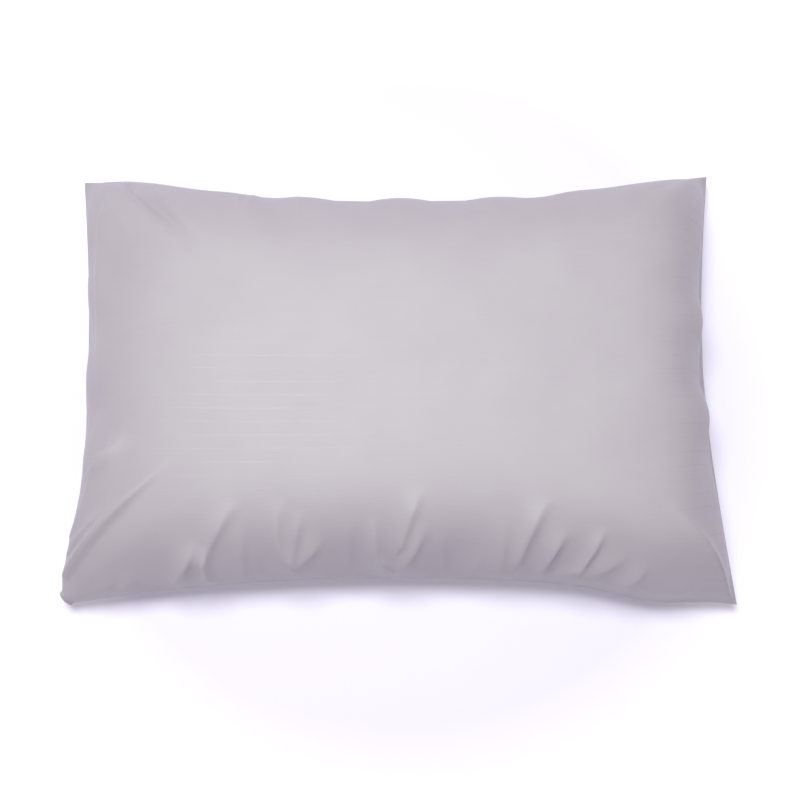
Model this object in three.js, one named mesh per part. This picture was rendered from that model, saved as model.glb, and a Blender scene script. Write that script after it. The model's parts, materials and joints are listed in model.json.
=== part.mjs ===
// Bed pillow: a fibre-filled insert inside a housewife (tuck-flap) pillowcase, lying on its back panel.
// Millimetres. Origin: centre of the resting face. +X: along the pillow to the closed end, so the
// mouth of the case is at -X. +Z: up.
//
// Every layer of cloth is a pair of height functions over one shared (u, v) grid, u and v from -1 to 1
// along the length and the width. Layers are listed from the seam line outwards, so they nest and
// never cross, whatever the sizes are.
import * as THREE from 'three';

// --- filled pillowcase ---
const CASE_LENGTH = 740;          // corner to corner along X
const CASE_WIDTH = 492;           // corner to corner along Y
const LOFT = 165;                 // crown above the resting face
const LONG_EDGE_PULL_IN = 25;     // the middle of a long edge, inside the line between its corners
const SHORT_EDGE_PULL_IN = 17;
const SEAM_HEIGHT_MID = 60;       // the seam line above the resting face, at the middle of each edge
const SEAM_HEIGHT_CORNER = 27;
const BELLY_DEPTH = 88;           // how far the underside would hang below the seam if nothing held it

// --- pillowcase cloth and sewing ---
const PANEL_THICKNESS = 1.0;
const HEM_THICKNESS = 0.8;        // the cloth turned under at a free edge
const SEAM_THICKNESS = 1.0;       // the two seam allowances pressed together
const SEAM_ALLOWANCE = 10;
const MOUTH_SETBACK = 10;         // the front panel's free edge, back from the mouth fold
const MOUTH_HEM_WIDTH = 25;
const FLAP_DEPTH = 160;           // the tuck flap, from the mouth fold inwards
const FLAP_HEM_WIDTH = 12;

// --- insert ---
const TICKING_THICKNESS = 0.8;
const PIPING_DIAMETER = 5;
const PIPING_SIDES = 8;
const PIPING_TO_SEAM = 1.5;       // between the piping and the case's seam allowance
const TICKING_TO_PIPING = 0.4;
const FILL_TO_TICKING_RIM = 3;
const RIM_ROUNDING = 45;          // width over which the insert rises from its rim to its full height

// --- care labels ---
const LABEL_THICKNESS = 0.4;
const LABEL_WIDTH = 30;
const CASE_LABEL_LENGTH = 42;
const CASE_LABEL_X = 215;
const INSERT_LABEL_LENGTH = 48;
const INSERT_LABEL_X = 120;

const LAYER_GAP = 0.3;            // between two layers that lie against each other
const CELL = 60;                  // the largest grid step

// --- the outline ---
const HALF_LENGTH = CASE_LENGTH / 2;
const HALF_WIDTH = CASE_WIDTH / 2;

// A distance in from a short or a long edge, as a (u, v) coordinate.
const uInside = (distance) => 1 - distance / (HALF_LENGTH - SHORT_EDGE_PULL_IN);
const vInside = (distance) => 1 - distance / (HALF_WIDTH - LONG_EDGE_PULL_IN);

function outline(u, v) {
  return [
    u * (HALF_LENGTH - SHORT_EDGE_PULL_IN * (1 - v * v)),
    v * (HALF_WIDTH - LONG_EDGE_PULL_IN * (1 - u * u)),
  ];
}

// --- heights ---
// 1 over the crown, and 0 at the edge, which it leaves steeply.
const profile = (t) => (1 - Math.abs(t) ** 2.3) ** 0.6;
const dome = (u, v) => profile(u) * profile(v);

function seamHeight(u, v) {
  return SEAM_HEIGHT_CORNER + (SEAM_HEIGHT_MID - SEAM_HEIGHT_CORNER) * (1 - u * u * v * v);
}

// A layer above the seam line: rim is its height over the seam line at the edge, and crown over the
// middle. Both grow from layer to layer by at least the gap, so the layers stay apart everywhere.
const layer = (rim, crown) => (u, v) => seamHeight(u, v) + rim + (crown - rim) * dome(u, v);

// The stack at the edge of the case, upwards from the seam line.
const SEAM_TOP = SEAM_THICKNESS / 2;
const FLAP_RIM = SEAM_TOP + LAYER_GAP;
const MOUTH_HEM_RIM = FLAP_RIM + PANEL_THICKNESS + LAYER_GAP;
const FRONT_RIM = MOUTH_HEM_RIM + HEM_THICKNESS + LAYER_GAP;

// The same stack at the crown, downwards from the outside.
const FRONT_CROWN = LOFT - SEAM_HEIGHT_MID - PANEL_THICKNESS;
const MOUTH_HEM_CROWN = FRONT_CROWN - LAYER_GAP - HEM_THICKNESS;
const FLAP_CROWN = MOUTH_HEM_CROWN - LAYER_GAP - PANEL_THICKNESS;
const FLAP_HEM_CROWN = FLAP_CROWN - LAYER_GAP - HEM_THICKNESS;
const INSERT_CROWN = FLAP_HEM_CROWN - LAYER_GAP - LABEL_THICKNESS - LAYER_GAP;

const frontInside = layer(FRONT_RIM, FRONT_CROWN);
const mouthHemInside = layer(MOUTH_HEM_RIM, MOUTH_HEM_CROWN);
const flapInside = layer(FLAP_RIM, FLAP_CROWN);
const flapHemInside = layer(FLAP_RIM - LAYER_GAP - HEM_THICKNESS, FLAP_HEM_CROWN);
const insertTopLimit = layer(0, INSERT_CROWN);

// The underside bulges down and lies flat where it rests.
function backOutside(u, v) {
  const rim = SEAM_TOP + LAYER_GAP + PANEL_THICKNESS;
  return Math.max(0, seamHeight(u, v) - rim - BELLY_DEPTH * dome(u, v));
}

const raised = (height, by) => (u, v) => height(u, v) + by;

// --- the insert's skins: from its rim line to the inside of the case ---
const PIPING_RIM = SEAM_ALLOWANCE + PIPING_TO_SEAM + PIPING_DIAMETER / 2;
const TICKING_RIM = PIPING_RIM + PIPING_DIAMETER / 2 + TICKING_TO_PIPING;
const FILL_RIM = TICKING_RIM + FILL_TO_TICKING_RIM;

// 0 at a rim that lies inset from the edge, and 1 from RIM_ROUNDING further in.
function rimRise(inset) {
  const share = (t, rim, span) => Math.min(1, Math.max(0, (rim - Math.abs(t)) / span));
  const rise = (t, rim, span) => Math.sin((Math.PI / 2) * share(t, rim, span));
  const uSpan = 1 - uInside(RIM_ROUNDING);
  const vSpan = 1 - vInside(RIM_ROUNDING);
  return (u, v) => rise(u, uInside(inset), uSpan) * rise(v, vInside(inset), vSpan);
}

// From start above or below the seam line at the rim, to the limit height further in.
function fromRim(inset, start, limit) {
  const rise = rimRise(inset);
  return (u, v) => {
    const w = rise(u, v);
    return seamHeight(u, v) + start * (1 - w) + (limit(u, v) - seamHeight(u, v)) * w;
  };
}

const backInside = raised(backOutside, PANEL_THICKNESS);
const tickingGap = LAYER_GAP / 2;
const tickingTopOutside = fromRim(TICKING_RIM, tickingGap + TICKING_THICKNESS, insertTopLimit);
const tickingTopInside = raised(tickingTopOutside, -TICKING_THICKNESS);
const tickingBottomOutside = fromRim(
  TICKING_RIM, -tickingGap - TICKING_THICKNESS, raised(backInside, LAYER_GAP));
const tickingBottomInside = raised(tickingBottomOutside, TICKING_THICKNESS);

// The fill meets the skins with the gap, and closes to an edge at its own rim.
const fillTop = fromRim(FILL_RIM, 0, raised(insertTopLimit, -TICKING_THICKNESS - LAYER_GAP));
const fillBottom = fromRim(
  FILL_RIM, 0, raised(backInside, LAYER_GAP + TICKING_THICKNESS + LAYER_GAP));

// --- the shared grid ---
// Every edge of every piece is a grid line, and longer stretches are divided evenly.
function gridLines(edges, step) {
  const sorted = [...new Set(edges.map((e) => Number(e.toFixed(9))))].sort((a, b) => a - b);
  const lines = [sorted[0]];
  for (let i = 1; i < sorted.length; i += 1) {
    const parts = Math.ceil((sorted[i] - sorted[i - 1]) / step);
    for (let k = 1; k <= parts; k += 1) {
      lines.push(sorted[i - 1] + ((sorted[i] - sorted[i - 1]) * k) / parts);
    }
  }
  return lines;
}

const bothSides = (values) => values.flatMap((value) => [-value, value]);
const labelU = (centre) => [-1, 1].map((side) => (centre + (side * LABEL_WIDTH) / 2) / HALF_LENGTH);
const caseLabelU = labelU(CASE_LABEL_X);
const insertLabelU = labelU(INSERT_LABEL_X);
const SEAM_U = uInside(SEAM_ALLOWANCE);
const SEAM_V = vInside(SEAM_ALLOWANCE);
const INSIDE_SEAMS_V = vInside(SEAM_ALLOWANCE + LAYER_GAP);
const FRONT_START = -uInside(MOUTH_SETBACK);
const MOUTH_HEM_END = -uInside(MOUTH_SETBACK + MOUTH_HEM_WIDTH);
const FLAP_HEM_START = -uInside(FLAP_DEPTH - FLAP_HEM_WIDTH);
const FLAP_END = -uInside(FLAP_DEPTH);
const CASE_LABEL_V = -vInside(SEAM_ALLOWANCE + CASE_LABEL_LENGTH);
const INSERT_LABEL_V = -vInside(TICKING_RIM + INSERT_LABEL_LENGTH);
const roundingMiddle = TICKING_RIM + RIM_ROUNDING / 3;

const U_LINES = gridLines([
  ...bothSides([1, SEAM_U, uInside(TICKING_RIM), uInside(FILL_RIM), uInside(roundingMiddle)]),
  FRONT_START, MOUTH_HEM_END, FLAP_HEM_START, FLAP_END, ...caseLabelU, ...insertLabelU,
], CELL / HALF_LENGTH);
const V_LINES = gridLines([
  ...bothSides([
    1, SEAM_V, INSIDE_SEAMS_V, vInside(TICKING_RIM), vInside(FILL_RIM), vInside(roundingMiddle),
  ]),
  CASE_LABEL_V, INSERT_LABEL_V,
], CELL / HALF_WIDTH);

const SNAP = 1e-6;
const between = (lines, low, high) => lines.filter((t) => t > low - SNAP && t < high + SNAP);

// --- geometry ---
function solid(points, triangles) {
  const geometry = new THREE.BufferGeometry();
  geometry.setAttribute('position', new THREE.Float32BufferAttribute(points.flat(), 3));
  geometry.setIndex(triangles.flat());
  geometry.computeVertexNormals();
  return geometry;
}

// A closed sheet between two height functions over part of the grid. Where they meet at its edge,
// the two sides share their vertices.
function sheet([uLow, uHigh], [vLow, vHigh], bottom, top) {
  const us = between(U_LINES, uLow, uHigh);
  const vs = between(V_LINES, vLow, vHigh);
  const points = [];
  const triangles = [];
  const side = (height) => us.map((u) => vs.map((v) => {
    const [x, y] = outline(u, v);
    points.push([x, y, height(u, v)]);
    return points.length - 1;
  }));
  const low = side(bottom);
  const high = side(top);
  const onEdge = (i, j) => i === 0 || j === 0 || i === us.length - 1 || j === vs.length - 1;
  const meets = (i, j) => onEdge(i, j) && points[high[i][j]][2] - points[low[i][j]][2] < SNAP;
  const pairs = us.flatMap((_, i) => vs.map((__, j) => [i, j]));
  pairs.filter(([i, j]) => meets(i, j)).forEach(([i, j]) => { high[i][j] = low[i][j]; });

  for (let i = 0; i + 1 < us.length; i += 1) {
    for (let j = 0; j + 1 < vs.length; j += 1) {
      for (const [grid, up] of [[high, true], [low, false]]) {
        const [a, b, c, d] = [grid[i][j], grid[i + 1][j], grid[i + 1][j + 1], grid[i][j + 1]];
        triangles.push(...(up ? [[a, b, c], [a, c, d]] : [[a, c, b], [a, d, c]]));
      }
    }
  }
  const wall = (i, j, k, l) => {
    const [a, b, c, d] = [low[i][j], low[k][l], high[k][l], high[i][j]];
    for (const t of [[a, b, c], [a, c, d]]) {
      if (new Set(t).size === 3) triangles.push(t);
    }
  };
  const lastU = us.length - 1;
  const lastV = vs.length - 1;
  for (let i = 0; i < lastU; i += 1) {
    wall(i, 0, i + 1, 0);
    wall(i + 1, lastV, i, lastV);
  }
  for (let j = 0; j < lastV; j += 1) {
    wall(lastU, j, lastU, j + 1);
    wall(0, j + 1, 0, j);
  }
  return dropUnused(points, triangles);
}

function dropUnused(points, triangles) {
  const used = [...new Set(triangles.flat())].sort((a, b) => a - b);
  const renumbered = new Map(used.map((old, index) => [old, index]));
  return solid(used.map((i) => points[i]), triangles.map((t) => t.map((i) => renumbered.get(i))));
}

// A round cord swept round the insert's rim, mitred at the four corners.
function rimCord(inset, diameter) {
  const uRim = uInside(inset);
  const vRim = vInside(inset);
  const rimU = uInside(TICKING_RIM);
  const rimV = vInside(TICKING_RIM);
  const us = between(U_LINES, -rimU, rimU).slice(1, -1);
  const vs = between(V_LINES, -rimV, rimV).slice(1, -1);
  const path = [
    [-uRim, -vRim], ...us.map((u) => [u, -vRim]),
    [uRim, -vRim], ...vs.map((v) => [uRim, v]),
    [uRim, vRim], ...us.toReversed().map((u) => [u, vRim]),
    [-uRim, vRim], ...vs.toReversed().map((v) => [-uRim, v]),
  ];
  const centres = path.map(([u, v]) => new THREE.Vector3(...outline(u, v), seamHeight(u, v)));
  const count = centres.length;
  const up = new THREE.Vector3(0, 0, 1);
  const points = [];
  centres.forEach((centre, i) => {
    const before = centre.clone().sub(centres[(i + count - 1) % count]).normalize();
    const after = centres[(i + 1) % count].clone().sub(centre).normalize();
    const out = before.clone().add(after).cross(up).normalize();
    const mitre = 1 / out.dot(after.clone().cross(up).normalize());
    for (let k = 0; k < PIPING_SIDES; k += 1) {
      const angle = ((k + 0.5) / PIPING_SIDES) * 2 * Math.PI;
      const point = centre.clone()
        .addScaledVector(out, (mitre * Math.cos(angle) * diameter) / 2)
        .addScaledVector(up, (Math.sin(angle) * diameter) / 2);
      points.push(point.toArray());
    }
  });
  const triangles = [];
  for (let i = 0; i < count; i += 1) {
    for (let k = 0; k < PIPING_SIDES; k += 1) {
      const next = (i + 1) % count;
      const turn = (k + 1) % PIPING_SIDES;
      const [a, b] = [i * PIPING_SIDES + k, i * PIPING_SIDES + turn];
      const [c, d] = [next * PIPING_SIDES + turn, next * PIPING_SIDES + k];
      triangles.push([a, c, b], [a, d, c]);
    }
  }
  return solid(points, triangles);
}

// --- materials ---
const cloth = (color, roughness) => new THREE.MeshStandardMaterial({ color, roughness, metalness: 0 });
const sateen = cloth(0xcdcad0, 0.55);
const ticking = cloth(0xf1efea, 0.8);
const fibre = cloth(0xfbfbfb, 0.95);
const labelTape = cloth(0xf4f3f0, 0.6);

// --- the assembly ---
const pillow = new THREE.Group();
function add(name, geometry, material) {
  const mesh = new THREE.Mesh(geometry, material);
  mesh.name = name;
  pillow.add(mesh);
}

const WHOLE = [-1, 1];
const seamBottom = raised(seamHeight, -SEAM_THICKNESS / 2);
const seamTop = raised(seamHeight, SEAM_TOP);
const insideSeamsV = [-INSIDE_SEAMS_V, INSIDE_SEAMS_V];

// Pillowcase
add('case_front_panel',
  sheet([FRONT_START, 1], WHOLE, frontInside, raised(frontInside, PANEL_THICKNESS)), sateen);
add('case_back_panel', sheet(WHOLE, WHOLE, backOutside, backInside), sateen);
add('case_tuck_flap',
  sheet([-1, FLAP_END], WHOLE, flapInside, raised(flapInside, PANEL_THICKNESS)), sateen);
add('case_mouth_hem',
  sheet([FRONT_START, MOUTH_HEM_END], WHOLE, mouthHemInside, raised(mouthHemInside, HEM_THICKNESS)),
  sateen);
add('case_flap_hem',
  sheet([FLAP_HEM_START, FLAP_END], insideSeamsV, flapHemInside, raised(flapHemInside, HEM_THICKNESS)),
  sateen);
add('case_side_seam_near', sheet(WHOLE, [-1, -SEAM_V], seamBottom, seamTop), sateen);
add('case_side_seam_far', sheet(WHOLE, [SEAM_V, 1], seamBottom, seamTop), sateen);
add('case_end_seam', sheet([SEAM_U, 1], insideSeamsV, seamBottom, seamTop), sateen);
add('case_mouth_seam', sheet([-1, -SEAM_U], insideSeamsV, seamBottom, seamTop), sateen);
add('case_care_label',
  sheet(caseLabelU, [-1, CASE_LABEL_V], flapInside, raised(flapInside, LABEL_THICKNESS)), labelTape);

// Insert
const tickingU = [-uInside(TICKING_RIM), uInside(TICKING_RIM)];
const tickingV = [-vInside(TICKING_RIM), vInside(TICKING_RIM)];
add('ticking_top_panel', sheet(tickingU, tickingV, tickingTopInside, tickingTopOutside), ticking);
add('ticking_bottom_panel',
  sheet(tickingU, tickingV, tickingBottomOutside, tickingBottomInside), ticking);
add('ticking_piping', rimCord(PIPING_RIM, PIPING_DIAMETER), ticking);
add('fibre_fill', sheet(
  [-uInside(FILL_RIM), uInside(FILL_RIM)], [-vInside(FILL_RIM), vInside(FILL_RIM)],
  fillBottom, fillTop), fibre);
add('insert_care_label', sheet(
  insertLabelU, [-vInside(TICKING_RIM), INSERT_LABEL_V],
  raised(tickingTopOutside, LAYER_GAP), raised(tickingTopOutside, LAYER_GAP + LABEL_THICKNESS)),
labelTape);

export default pillow;
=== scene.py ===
"""Bed pillow: a piped, fibre-filled ticking insert inside a striped sateen housewife pillowcase.

Metres, in the frame of the CAD model: +X towards the closed end of the case, +Z up, resting on z = 0.
The case starts as two flat cloth panels sewn together round their edges. They are blown up and settled
on the floor by a small cloth simulation, brought to the CAD model's box, and given their folds. Every
layer of the pillow is then laid along those two panels.
"""
import json
import math

import bpy
import numpy as np
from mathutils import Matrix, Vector


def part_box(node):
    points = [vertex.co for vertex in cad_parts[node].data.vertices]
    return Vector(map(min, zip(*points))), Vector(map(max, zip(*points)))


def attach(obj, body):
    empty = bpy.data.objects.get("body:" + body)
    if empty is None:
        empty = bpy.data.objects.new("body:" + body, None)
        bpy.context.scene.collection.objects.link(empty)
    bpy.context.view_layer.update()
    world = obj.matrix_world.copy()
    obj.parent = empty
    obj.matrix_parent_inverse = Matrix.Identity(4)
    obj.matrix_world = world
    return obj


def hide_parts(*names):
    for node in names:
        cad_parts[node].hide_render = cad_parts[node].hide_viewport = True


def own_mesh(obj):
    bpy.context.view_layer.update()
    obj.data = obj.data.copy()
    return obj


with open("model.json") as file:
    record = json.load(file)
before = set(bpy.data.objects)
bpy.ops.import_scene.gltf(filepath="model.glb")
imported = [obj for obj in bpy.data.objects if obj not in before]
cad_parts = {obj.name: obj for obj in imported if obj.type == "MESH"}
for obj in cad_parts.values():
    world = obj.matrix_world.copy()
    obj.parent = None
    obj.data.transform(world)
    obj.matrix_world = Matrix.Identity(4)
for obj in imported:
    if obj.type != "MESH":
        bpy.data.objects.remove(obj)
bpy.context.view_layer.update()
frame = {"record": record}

# --- the case as it was cut ---
CUT_LENGTH = 0.750
CUT_WIDTH = 0.500
FILL_VOLUME = 0.035               # cubic metres between the two panels

# --- the filled case: its outline, seen from above ---
CASE_LOW, CASE_HIGH = (np.array(corner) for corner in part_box("case_back_panel"))
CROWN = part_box("case_front_panel")[1][2]
CORNER_SHIFT = {                  # from the corner of the CAD model's box
    (-1, -1): (-0.0015, -0.0045),
    (1, -1): (0.003, -0.004),
    (1, 1): (-0.003, 0.005),
    (-1, 1): (-0.002, -0.002),
}
PULL_IN = {"near": 0.0275, "far": 0.040, "mouth": 0.025, "end": 0.0285}
SEAM_HEIGHT_MID = 0.060
SEAM_HEIGHT_CORNER = 0.027
SHOULDER_POWER = 1.9              # how flat the crown is and how round its shoulders
END_FULLNESS = 1.8                # how much rounder the shoulders of the short ends are
MOUTH_FULLNESS = 0.5              # the same at the mouth
FULLER_ZONE = (0.2, 1.0)          # from the middle to an end, where the fullness sets in and is complete
CORNER_RELIEF = 1.5               # how closely the flatter shape keeps away from the corners
SHOULDER_EDGE = 0.06              # half-widths from the seam over which the shoulders take shape
SOFT_CORNER = 0.015               # radius of the corner where the mouth is not stuffed, near side
# where an edge bows out or in besides: its place from -1 to 1, its reach and its depth in metres
SLACK = {
    "near": ((0.75, 0.17, 0.0105),),
    "far": ((-0.80, 0.22, 0.0075), (0.47, 0.26, -0.0050)),
    "mouth": ((-0.42, 0.25, -0.0055),),
    "end": (),
}

# --- cloth and sewing ---
PANEL_THICKNESS = 0.0006
HEM_THICKNESS = 0.0005
SEAM_GAP = 0.00025                # half the gap between the two panels along a seam
LAYER_CLEARANCE = 0.0001
MOUTH_SETBACK = 0.010             # the front panel's free edge, back from the mouth fold
MOUTH_HEM_WIDTH = 0.025
FLAP_DEPTH = 0.160
FLAP_HEM_WIDTH = 0.012
SEAM_ALLOWANCE = 0.010
STRIPE_PITCH = 0.014

# --- insert ---
TICKING_THICKNESS = 0.0006
TICKING_RIM = 0.020               # from the case's seam line to the ticking's edge
PIPING_RIM = 0.0165
PIPING_DIAMETER = 0.0048
FILL_RIM = 0.024
INSERT_DEPTH = 0.0036             # the ticking's face, under the outside of the case


# --- cloth simulation: a position-based relaxation of two square-woven panels that share their edges ---
# from coarse to fine: the steps at each level of the grid, and the pressure's push in each step
LEVELS = ((800, 3e-5), (600, 1e-5), (600, 4e-6))
START_CELLS = (30, 20)
SHOWN_CELLS = (480, 320)          # of the settled panels, from which every piece is sampled
START_HEIGHT = 0.05               # the panels' seam, over the floor
START_BULGE = 0.03
START_UNEVENNESS = 0.002
WEIGHT = 0.17                     # gravity, as a share of the pressure's push
DAMPING = 0.985
SHEAR_STIFFNESS = 0.15
BENDING_STIFFNESS = 0.1
SEAM_SHRINKAGE = 0.99             # the sewn edges draw up a little
START_SEED = 5
PRESSURE_BAND = 8                 # how sharply the pressure stops once the fill's volume is reached
SMALLEST_VOLUME = 1e-6
TINY = 1e-12                      # keeps a length that is divided by away from zero


def smooth_step(x, low, high):
    x = np.clip((x - low) / (high - low), 0, 1)
    return x * x * (3 - 2 * x)


def smooth_noise(shape, cells, seed):
    """Random values on a coarse grid, smoothly interpolated to shape."""
    rng = np.random.default_rng(seed)
    knots = rng.normal(size=(cells[0] + 3, cells[1] + 3))
    x, y = np.linspace(0, cells[0], shape[0]), np.linspace(0, cells[1], shape[1])
    i, j = x.astype(int), y.astype(int)
    fx, fy = x - i, y - j
    fx, fy = (fx * fx * (3 - 2 * fx))[:, None], (fy * fy * (3 - 2 * fy))[None]
    low = knots[np.ix_(i, j)] * (1 - fx) + knots[np.ix_(i + 1, j)] * fx
    high = knots[np.ix_(i, j + 1)] * (1 - fx) + knots[np.ix_(i + 1, j + 1)] * fx
    return low * (1 - fy) + high * fy


def weld(panels):
    """Keeps the two panels together along their shared edges."""
    for edge in (np.s_[0, :], np.s_[-1, :], np.s_[:, 0], np.s_[:, -1]):
        shared = (panels[0][edge] + panels[1][edge]) / 2
        panels[0][edge] = shared
        panels[1][edge] = shared


def pull(panels, first, second, rest, stiffness=1.0):
    """Moves both ends of every pair of points towards their rest length."""
    apart = panels[second] - panels[first]
    length = np.sqrt((apart * apart).sum(-1, keepdims=True)) + TINY
    apart *= (length - rest) / length * (stiffness / 2)
    panels[first] += apart
    panels[second] -= apart


def alternate(count):
    """Neighbouring pairs in two sets, so that no point is in a set twice."""
    for offset in (0, 1):
        pairs = (count - 1 - offset) // 2
        yield slice(offset, offset + 2 * pairs, 2), slice(offset + 1, offset + 1 + 2 * pairs, 2)


def hold_lengths(panels, cell):
    """Keeps every thread at its length, the seams a little drawn up, and the diagonals loosely."""
    whole = slice(None)
    rows, columns = panels.shape[1:3]
    for a, b in alternate(rows):
        pull(panels, (whole, a), (whole, b), cell)
    for a, b in alternate(columns):
        pull(panels, (whole, whole, a), (whole, whole, b), cell)
    for column in (0, columns - 1):
        for a, b in alternate(rows):
            pull(panels, (whole, a, column), (whole, b, column), cell * SEAM_SHRINKAGE)
    for row in (0, rows - 1):
        for a, b in alternate(columns):
            pull(panels, (whole, row, a), (whole, row, b), cell * SEAM_SHRINKAGE)
    left, right = slice(0, columns - 1), slice(1, columns)
    for a, b in alternate(rows):
        pull(panels, (whole, a, left), (whole, b, right), cell * math.sqrt(2), SHEAR_STIFFNESS)
        pull(panels, (whole, a, right), (whole, b, left), cell * math.sqrt(2), SHEAR_STIFFNESS)


def unbend(panels):
    """Straightens sharp bends a little."""
    for axis in (1, 2):
        along = np.moveaxis(panels, axis, 1)
        bend = along[:, 2:] + along[:, :-2] - 2 * along[:, 1:-1]
        along[:, 1:-1] += bend * (BENDING_STIFFNESS / 4)
        along[:, 2:] -= bend * (BENDING_STIFFNESS / 8)
        along[:, :-2] -= bend * (BENDING_STIFFNESS / 8)


def relax(panels, cell, steps, push):
    """Lets the panels settle under pressure and weight, on the floor."""
    before = panels.copy()
    for _ in range(steps):
        velocity = (panels - before) * DAMPING
        before = panels.copy()
        normal = np.cross(np.gradient(panels, axis=1), np.gradient(panels, axis=2))
        normal[1] *= -1
        volume = (panels[..., 2] * normal[..., 2]).sum()
        share = np.clip((FILL_VOLUME / max(volume, SMALLEST_VOLUME) - 1) * PRESSURE_BAND, 0, 1)
        normal /= np.sqrt((normal * normal).sum(-1, keepdims=True)) + TINY
        panels += velocity + normal * (push * share)
        panels[..., 2] -= push * share * WEIGHT
        hold_lengths(panels, cell)
        unbend(panels)
        weld(panels)
        panels[..., 2] = np.maximum(panels[..., 2], 0)
    return panels


def refine(grid, axis):
    """Twice as many cells along one axis, by cubic interpolation."""
    grid = np.moveaxis(grid, axis, 0)
    fine = np.zeros((2 * len(grid) - 1, *grid.shape[1:]))
    fine[::2] = grid
    fine[1::2] = (grid[:-1] + grid[1:]) / 2
    fine[3:-3:2] = (9 * (grid[1:-2] + grid[2:-1]) - (grid[:-3] + grid[3:])) / 16
    return np.moveaxis(fine, 0, axis)


def finer(panels):
    return refine(refine(panels, 1), 2)


def blown_up_case():
    """The two panels, front and back, as arrays of points on one grid."""
    rows, columns = START_CELLS[0] + 1, START_CELLS[1] + 1
    u, v = np.meshgrid(np.linspace(-1, 1, rows), np.linspace(-1, 1, columns), indexing="ij")
    lift = START_BULGE * (1 - u ** 4) * (1 - v ** 4)
    noise = smooth_noise((rows, columns), (12, 8), START_SEED) * START_UNEVENNESS
    flat = np.stack([u * CUT_LENGTH / 2, v * CUT_WIDTH / 2, np.full_like(u, START_HEIGHT)], -1)
    panels = np.stack([flat, flat])
    panels[0, ..., 2] += lift + noise
    panels[1, ..., 2] -= lift
    cell = CUT_LENGTH / START_CELLS[0]
    for level, (steps, push) in enumerate(LEVELS):
        if level:
            panels, cell = finer(panels), cell / 2
            weld(panels)
        panels = relax(panels, cell, steps, push)
    while panels.shape[1] - 1 < SHOWN_CELLS[0]:
        panels = finer(panels)
    weld(panels)
    return panels


# --- the outline and heights of the filled case ---
def wanted_edge(side, t):
    """Points along one edge of the case, t from -1 to 1, from the corners and the edge's pull-in."""
    ends = {"near": ((-1, -1), (1, -1)), "far": ((-1, 1), (1, 1)),
            "mouth": ((-1, -1), (-1, 1)), "end": ((1, -1), (1, 1))}[side]
    a, b = (np.array(c) * CASE_HIGH[:2] + CORNER_SHIFT[c] for c in ends)
    inwards = np.array({"near": (0, 1), "far": (0, -1), "mouth": (1, 0), "end": (-1, 0)}[side])
    along = (1 + t)[:, None] / 2
    pulled = PULL_IN[side] * (1 - t * t)
    for place, reach, amount in SLACK[side]:
        pulled = pulled - amount * np.exp(-((t - place) / reach) ** 2) * (1 - t ** 8)
    line = a * (1 - along) + b * along + pulled[:, None] * inwards
    if side in ("near", "mouth"):
        line = round_start(line, inwards)
    return line


def round_start(line, inwards):
    """The line's first corner, rounded: this edge's half of the arc."""
    corner = line[0].copy()
    forwards = (line[-1] - corner) / np.linalg.norm(line[-1] - corner)
    distance = np.linalg.norm(line - corner, axis=1)[:, None]
    angle = math.pi / 4 * (1 + distance / SOFT_CORNER)
    rounded = corner + SOFT_CORNER * ((1 - np.cos(angle)) * forwards + (1 - np.sin(angle)) * inwards)
    return np.where(distance < SOFT_CORNER, rounded, line)


def fit_outline(panels):
    """Moves the case sideways so that its seam line has the wanted outline, the inside following."""
    rows, columns = panels.shape[1:3]
    u, v = np.linspace(-1, 1, rows), np.linspace(-1, 1, columns)
    seam = panels[0, ..., :2]
    near = wanted_edge("near", u) - seam[:, 0]
    far = wanted_edge("far", u) - seam[:, -1]
    mouth = wanted_edge("mouth", v) - seam[0]
    end = wanted_edge("end", v) - seam[-1]
    a = (1 + u)[:, None, None] / 2
    b = (1 + v)[None, :, None] / 2
    shift = near[:, None] * (1 - b) + far[:, None] * b + mouth[None] * (1 - a) + end[None] * a
    shift -= (near[0] * (1 - a) + near[-1] * a) * (1 - b) + (far[0] * (1 - a) + far[-1] * a) * b
    panels[..., :2] += shift


def fit_heights(panels):
    """Scales heights so that the crown, the middles of the seams and the corners are where they belong."""
    rows, columns = panels.shape[1:3]
    u, v = np.meshgrid(np.linspace(-1, 1, rows), np.linspace(-1, 1, columns), indexing="ij")
    seam = panels[0, ..., 2]
    mids = (seam[0, columns // 2] + seam[-1, columns // 2] + seam[rows // 2, 0] + seam[rows // 2, -1]) / 4
    corners = (seam[0, 0] + seam[0, -1] + seam[-1, 0] + seam[-1, -1]) / 4
    edge = np.maximum(abs(u), abs(v)) ** 4      # 1 along the seams, 0 in the middle
    corner = abs(u * v) ** 3                    # 1 at the corners alone
    crown_scale = CROWN / seam.max()
    mid_scale = SEAM_HEIGHT_MID / mids
    corner_scale = SEAM_HEIGHT_CORNER / corners
    scale = crown_scale * (1 - edge) + mid_scale * (edge - corner) + corner_scale * corner
    panels[..., 2] *= scale
    sharpen_shoulders(panels, u, v)


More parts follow.
